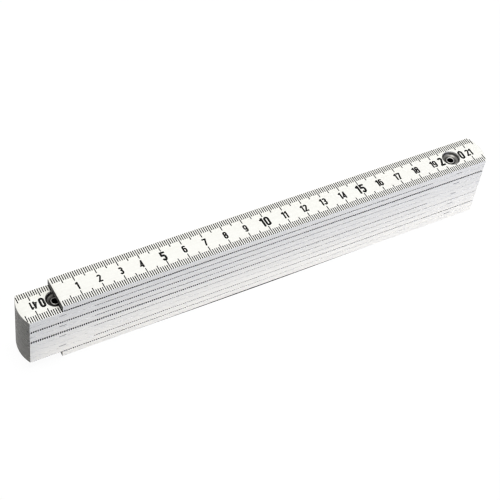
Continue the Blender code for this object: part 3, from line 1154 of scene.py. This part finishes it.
def set_number(digits, space):
    """Left edges of a number's digits, with the number centred on nought, on the unit of height."""
    widths = np.array([digit_advance(digit) for digit in digits])
    starts = np.concatenate([[0], np.cumsum(widths + space)[:-1]])
    return starts - (widths.sum() + space * (len(digits) - 1)) / 2


def digit_places(sizes, stretch):
    """Every digit of a stretch as (digit, x along the face in reading direction, height).

    A number is centred on its tick, or stands a little before it where it starts with an open-cornered 4. At a
    hinge its last digit stands past the cup and the rest before it.
    """
    places = []
    for count in counts_of(stretch):
        value = (stretch - 1) * LINK_COUNTS + int(count)
        if value % CENTIMETRE:
            continue
        number = value // CENTIMETRE
        digits = [int(sign) for sign in str(number)]
        large = number % HALF_CENTIMETRE == 0
        tall = sizes.large_number if large else sizes.small_number
        space = WIDE_SPACE if large else TIGHT_SPACE
        along = count * MM - HINGE_X
        groups = [(digits, along)]
        if count == LINK_COUNTS:
            extra = (len(digits) - 2) * tall * (DIGIT_WIDTH + space) / 2
            groups = [
                (digits[:-1], along - sizes.split_reach - extra),
                (digits[-1:], along + sizes.split_reach),
            ]
        for group, centre in groups:
            if group[0] == 4:
                centre -= FOUR_SHIFT * tall
            starts = set_number(group, space)
            places += [(digit, centre + start * tall, tall) for digit, start in zip(group, starts)]
    return places


def number_solids(links, sizes, templates, link, side):
    """Ink of all the numbers on a face: the digits' templates scaled, laid along the scale and set on the face."""
    stretch = printed_face(link, side)
    forward = 1 if stretch % 2 else -1
    places = digit_places(sizes, stretch)
    all_points = []
    all_faces = []
    total = 0
    for digit, (points, triangles) in templates.items():
        spots = np.array([(along, tall) for each, along, tall in places if each == digit])
        if not len(spots):
            continue
        along = spots[:, 0, None]
        tall = spots[:, 1, None]
        x = forward * (along + points[:, 0] * tall)
        y = forward * ((points[:, 1] - 0.5) * tall - sizes.print_shift - sizes.number_drop)
        lift = points[:, 2] * (sizes.ink_height + sizes.ink_bed) - sizes.ink_bed
        height = face_height(links, link, side, x) + side * lift
        all_points.append(np.stack([x, y * side, height], axis=-1).reshape(-1, 3))
        copies = total + np.arange(len(spots)) * len(points)
        all_faces.append((triangles[None] + copies[:, None, None]).reshape(-1, 3))
        total += len(spots) * len(points)
    return np.concatenate(all_points), np.concatenate(all_faces)


def joined(parts):
    """One array of points and one list of faces from several parts."""
    offsets = np.cumsum([0] + [len(points) for points, _ in parts[:-1]])
    points = np.concatenate([points for points, _ in parts])
    faces = [face for offset, (_, each) in zip(offsets, parts) for face in (each + offset).tolist()]
    return points, faces


# Operators


class AddLinks(bpy.types.Operator):
    """Makes the ten lacquered links, with the seats of their hinges cut out"""

    bl_idname = "folding_rule.add_links"
    bl_label = "Links"

    def execute(self, context):
        links = context.scene.rule_links
        sizes = context.scene.rule_hinges
        colours = context.scene.rule_colours
        material = lacquered_beech(colours)
        end_material = lacquered_end_grain(colours)
        for link in LINKS:
            piece = new_object(f"lacquered_link_{link:02d}", *link_solid(links, link))
            seats = [(hinge, side) for hinge, side in ((link, 1), (link - 1, -1)) if hinge in HINGE_AT]
            cutters = [
                new_object(f"seat_{hinge}", *plug(seat_profile(links, sizes, hinge, side), hinge, side))
                for hinge, side in seats
            ]
            if link in HINGE_AT:
                cutters += [new_object("slot", *ear_solid(sizes, link, edge, slot=True)) for edge in (1, -1)]
            combine(piece, cutters, "DIFFERENCE")
            finish_piece(piece, material, section_name(link), "lacquered_wood", f"link_{link:02d}", sharp=28)
            self.add_finish_maps(piece.data, link, end_material)
        return {"FINISHED"}

    @staticmethod
    def add_finish_maps(mesh, link, end_material):
        """Gives each link a tone of its own for the lacquer, and its rounded ends the end grain's finish."""
        tone = mesh.attributes.new("tone", "FLOAT", "POINT")
        tone.data.foreach_set("value", np.full(len(mesh.vertices), link * TONE_STEP))
        middle = np.empty(len(mesh.polygons) * 3)
        normal = np.empty(len(mesh.polygons) * 3)
        mesh.polygons.foreach_get("center", middle)
        mesh.polygons.foreach_get("normal", normal)
        x, y, _ = np.abs(middle.reshape(-1, 3).T)
        upright = np.abs(normal.reshape(-1, 3)[:, 2])
        on_arc = (x > HINGE_X) & (np.hypot(x - HINGE_X, y) > END_RADIUS - 0.2 * MM) & (upright < 0.99)
        mesh.materials.append(end_material)
        mesh.polygons.foreach_set("material_index", on_arc.astype(int))


class AddEndSeals(bpy.types.Operator):
    """Makes the dark varnish on the two square-cut ends of the rule"""

    bl_idname = "folding_rule.add_end_seals"
    bl_label = "End seals"

    def execute(self, context):
        links = context.scene.rule_links
        material = end_varnish(context.scene.rule_colours)
        for link in (FIRST_LINK, LAST_LINK):
            piece = new_object(f"end_seal_{link:02d}", *self.seal_solid(links, link))
            finish_piece(piece, material, section_name(link), "lacquered_wood")
        return {"FINISHED"}

    @staticmethod
    def seal_solid(links, link):
        """A thin slab on the end face: the end's outline drawn at the wood and again a seal's depth out."""
        x = np.array([-HINGE_X])
        top = face_height(links, link, 1, x)[0] - links.edge_round
        base = face_height(links, link, -1, x)[0] + links.seal_depth
        wide = HALF_WIDTH - links.edge_round / 2
        outline = np.array([(wide, base), (-wide, base), (-wide, top), (wide, top)])
        depth = np.array([links.edge_round, -links.seal_depth])[:, None] - HINGE_X
        y = np.broadcast_to(outline[:, 0], (2, 4))
        z = np.broadcast_to(outline[:, 1], (2, 4))
        points = np.stack([np.broadcast_to(depth, (2, 4)), y, z], axis=-1)
        faces = grid_quads(2, 4, wrap_rows=False).tolist()
        return points, faces + [[3, 2, 1, 0], [4, 5, 6, 7]]


class AddCups(bpy.types.Operator):
    """Makes the pressed cups on the outer faces of the hinged links"""

    bl_idname = "folding_rule.add_cups"
    bl_label = "Cups"

    def execute(self, context):
        links = context.scene.rule_links
        sizes = context.scene.rule_hinges
        colours = context.scene.rule_colours
        material = plated_steel("pressed steel with nickel plate", colours, colours.cup, 0.32)
        for hinge in HINGES:
            for side, word, link in ((1, "upper", hinge), (-1, "lower", hinge + 1)):
                profile = cup_profile(links, sizes, hinge, side)
                points, faces = turned(profile, hinge, side)
                piece = new_object(f"pressed_cup_{hinge}_{word}", points, faces)
                lip = sizes.rivet_bore + 2 * sizes.lip_round
                # Painted shade and grime round the rivet's lip, fading out over the grime reach
                add_grime(piece, 1 - smooth_step(axis_distance(points, hinge), lip, lip + sizes.grime_reach))
                finish_piece(piece, material, section_name(link), "cup_steel", f"hinge_{hinge}_{word}_cup")
        return {"FINISHED"}


class AddRivets(bpy.types.Operator):
    """Makes the hollow rivets with their curled lips"""

    bl_idname = "folding_rule.add_rivets"
    bl_label = "Rivets"

    def execute(self, context):
        links = context.scene.rule_links
        sizes = context.scene.rule_hinges
        colours = context.scene.rule_colours
        material = plated_steel("rolled steel tube with nickel plate", colours, colours.rivet, 0.34)
        for hinge in HINGES:
            profile = rivet_profile(links, sizes, hinge)
            points, faces = turned(profile, hinge, 1)
            piece = new_object(f"hollow_rivet_{hinge}", points, faces)
            # The rivet's bore painted near-black: painted shade and grime inside the hole
            add_grime(piece, axis_distance(points, hinge) < sizes.rivet_bore + sizes.fit)
            finish_piece(piece, material, section_name(hinge), "rivet_steel", f"hinge_{hinge}_rivet")
        return {"FINISHED"}


class AddPlates(bpy.types.Operator):
    """Makes the click plates that lie between the hinged links"""

    bl_idname = "folding_rule.add_plates"
    bl_label = "Click plates"

    def execute(self, context):
        sizes = context.scene.rule_hinges
        colours = context.scene.rule_colours
        material = plated_steel("blanked spring steel", colours, colours.plate, 0.35)
        for hinge in HINGES:
            for side, word, link in ((1, "upper", hinge), (-1, "lower", hinge + 1)):
                piece = new_object(f"click_plate_{hinge}_{word}", *plate_surface(sizes, hinge, side))
                if side > 0:
                    ears = [new_object("ear", *ear_solid(sizes, hinge, edge)) for edge in (1, -1)]
                    combine(piece, ears, "UNION")
                finish_piece(piece, material, section_name(link), "plate_steel", f"hinge_{hinge}_{word}_plate")
        return {"FINISHED"}


class PrintTicks(bpy.types.Operator):
    """Prints the millimetre ticks on both faces of every link"""

    bl_idname = "folding_rule.print_ticks"
    bl_label = "Ticks"

    def execute(self, context):
        links = context.scene.rule_links
        sizes = context.scene.rule_print
        hinges = context.scene.rule_hinges
        material = printing_ink(context.scene.rule_colours)
        for link in LINKS:
            parts = []
            for side in (1, -1):
                parts += [tick_ribbons(links, sizes, hinges, link, side, edge) for edge in (1, -1)]
                if printed_face(link, side) != LAST_LINK:
                    parts.append(end_ticks(links, sizes, link, side))
            piece = new_object(f"printed_ticks_{link:02d}", *joined(parts))
            finish_piece(piece, material, section_name(link), "lacquered_wood")
        return {"FINISHED"}


class PrintNumbers(bpy.types.Operator):
    """Prints the centimetre numbers on both faces of every link"""

    bl_idname = "folding_rule.print_numbers"
    bl_label = "Numbers"

    def execute(self, context):
        links = context.scene.rule_links
        sizes = context.scene.rule_print
        material = bpy.data.materials["black printing ink"]
        templates = {digit: digit_template(digit) for digit in range(10)}
        for link in LINKS:
            parts = [number_solids(links, sizes, templates, link, side) for side in (1, -1)]
            piece = new_object(f"printed_numbers_{link:02d}", *joined(parts))
            finish_piece(piece, material, section_name(link), "lacquered_wood")
        return {"FINISHED"}


class SetStudio(bpy.types.Operator):
    """Sets the camera, the lamps and the white paper floor"""

    bl_idname = "folding_rule.set_studio"
    bl_label = "Studio"

    def execute(self, context):
        studio = context.scene.rule_studio
        reach = studio.bench_reach
        self.add_floor("paper_sheet", studio.sheet, studio.sheet_low[:2], studio.sheet_high[:2], 0.03 * MM)
        # A floor strip painted dark as the shadow under the lowest link's bow
        self.add_shade(context.scene.rule_links, studio)
        self.add_floor("bench_floor", studio.bench, (-reach, -reach), (reach, reach), 0.06 * MM)
        self.add_camera(context.scene, studio)
        for word, kind in (("key", "AREA"), ("top", "SUN"), ("fill", "AREA"), ("back", "AREA")):
            look = [getattr(studio, f"{word}_{setting}") for setting in ("power", "colour", "place")]
            lamp = self.add_lamp(f"{word} lamp", kind, *look)
            if kind == "SUN":
                lamp.angle = studio.top_spread
            else:
                lamp.size = studio.lamp_size
        self.add_sky(context.scene, studio)
        context.scene.view_settings.view_transform = "Standard"
        # A wide pixel filter and cleaned guides would smear the fine ticks into the lacquer
        context.scene.cycles.filter_width = studio.pixel_width
        context.scene.cycles.denoising_prefilter = "NONE"
        return {"FINISHED"}

    @staticmethod
    def add_floor(name, rgb, low, high, drop):
        """A flat rectangle between two corners, a little under the rule."""
        level = STACK_BASE - drop
        corners = [(low[0], low[1]), (high[0], low[1]), (high[0], high[1]), (low[0], high[1])]
        floor = new_object(name, [(*corner, level) for corner in corners], [[0, 1, 2, 3]])
        floor.data.materials.append(studio_paper(name.replace("_", " "), rgb))

    @staticmethod
    def add_shade(links, studio):
        """A dark strip on the floor, painted shadow under the lowest link's bow, widest in front of the bow's top.
        """
        x = links.bow_middle + links.bow_reach * np.linspace(-1, 1, PAINTED_SHADOW_STEPS)
        hidden = np.full_like(x, links.edge_round - HALF_WIDTH)
        front = hidden - (studio.shade_reach + links.edge_round) * bow_share(links, x)
        level = np.full_like(x, STACK_BASE - 0.02 * MM)
        points = np.stack([np.stack([x, y, level], axis=1) for y in (front, hidden + links.bow_rise * 4)])
        near = np.arange(PAINTED_SHADOW_STEPS - 1)
        far = near + PAINTED_SHADOW_STEPS
        shade = new_object("paper_shade", points, np.stack([near, near + 1, far + 1, far], axis=1).tolist())
        # The strip's near-black diffuse colour is painted shadow, in the gap under the bow and on the floor just in
        # front of it
        material, tree, output = new_material("paper in shade")
        dark = add_node(tree, "ShaderNodeBsdfDiffuse", inputs={"Color": opaque(studio.shade)})
        tree.links.new(dark.outputs[0], output.inputs[0])
        shade.data.materials.append(material)

    @staticmethod
    def add_camera(scene, studio):
        """A camera on a sphere about its aim, turned to look at it and then rolled about its own view."""
        flat = math.cos(studio.elevation)
        back = Vector(
            (
                math.sin(studio.azimuth) * flat,
                -math.cos(studio.azimuth) * flat,
                math.sin(studio.elevation),
            )
        )
        data = bpy.data.cameras.new("camera")
        data.lens = studio.lens
        data.clip_start = 0.01
        camera = bpy.data.objects.new("camera", data)
        level = back.to_track_quat("Z", "Y").to_matrix()
        turned_view = (level @ Matrix.Rotation(studio.roll, 3, "Z")).to_4x4()
        camera.matrix_world = Matrix.Translation(Vector(studio.aim) + back * studio.distance) @ turned_view
        scene.collection.objects.link(camera)
        scene.camera = camera

    @staticmethod
    def add_lamp(name, kind, power, rgb, middle):
        """A soft lamp that faces the rule, as its light data."""
        data = bpy.data.lights.new(name, kind)
        data.energy = power
        data.color = rgb
        lamp = bpy.data.objects.new(name, data)
        lamp.location = middle
        lamp.rotation_euler = Vector(middle).to_track_quat("Z", "Y").to_euler()
        bpy.context.scene.collection.objects.link(lamp)
        return data

    @staticmethod
    def add_sky(scene, studio):
        """A dim even light from all round, which the camera and reflections see as white."""
        world = bpy.data.worlds.new("studio")
        world.use_nodes = True
        tree = world.node_tree
        tree.nodes.clear()
        path = add_node(tree, "ShaderNodeLightPath").outputs
        seen = add_node(
            tree,
            "ShaderNodeMath",
            {"operation": "MAXIMUM"},
            {0: path["Is Camera Ray"], 1: path["Is Glossy Ray"]},
        )
        seen = add_node(
            tree,
            "ShaderNodeMath",
            {"operation": "MAXIMUM"},
            {0: seen.outputs[0], 1: path["Is Transmission Ray"]},
        )
        dim = add_node(tree, "ShaderNodeBackground", inputs={"Strength": studio.sky, "Color": (1, 1, 1, 1)})
        white = add_node(tree, "ShaderNodeBackground", inputs={"Strength": 1.0, "Color": (1, 1, 1, 1)})
        shown = add_node(
            tree, "ShaderNodeMixShader", inputs={0: seen.outputs[0], 1: dim.outputs[0], 2: white.outputs[0]}
        )
        output = add_node(tree, "ShaderNodeOutputWorld")
        tree.links.new(shown.outputs[0], output.inputs[0])
        scene.world = world


STEPS = (AddLinks, AddEndSeals, AddCups, AddRivets, AddPlates, PrintTicks, PrintNumbers, SetStudio)
GROUPS = {
    "rule_links": LinkSizes,
    "rule_hinges": HingeSizes,
    "rule_print": PrintSizes,
    "rule_colours": RuleColours,
    "rule_studio": StudioSettings,
}


class FoldingRulePanel(bpy.types.Panel):
    """Lists the pieces of the folding rule in the sidebar"""

    bl_idname = "VIEW3D_PT_folding_rule"
    bl_label = "Folding rule"
    bl_space_type = "VIEW_3D"
    bl_region_type = "UI"
    bl_category = "Folding rule"

    def draw(self, context):
        for step in STEPS:
            self.layout.operator(step.bl_idname)
        for name, group in GROUPS.items():
            box = self.layout.box()
            for setting in group.__annotations__:
                box.prop(getattr(context.scene, name), setting)


def register():
    for kind in (*GROUPS.values(), *STEPS, FoldingRulePanel):
        bpy.utils.register_class(kind)
    for name, group in GROUPS.items():
        setattr(bpy.types.Scene, name, bpy.props.PointerProperty(type=group))


def unregister():
    for name in GROUPS:
        delattr(bpy.types.Scene, name)
    for kind in reversed((*GROUPS.values(), *STEPS, FoldingRulePanel)):
        bpy.utils.unregister_class(kind)


def main():
    """Builds every piece in order."""
    register()
    bpy.ops.folding_rule.add_links()
    bpy.ops.folding_rule.add_end_seals()
    bpy.ops.folding_rule.add_cups()
    bpy.ops.folding_rule.add_rivets()
    bpy.ops.folding_rule.add_plates()
    bpy.ops.folding_rule.print_ticks()
    bpy.ops.folding_rule.print_numbers()
    bpy.ops.folding_rule.set_studio()


if __name__ == "__main__":
    main()
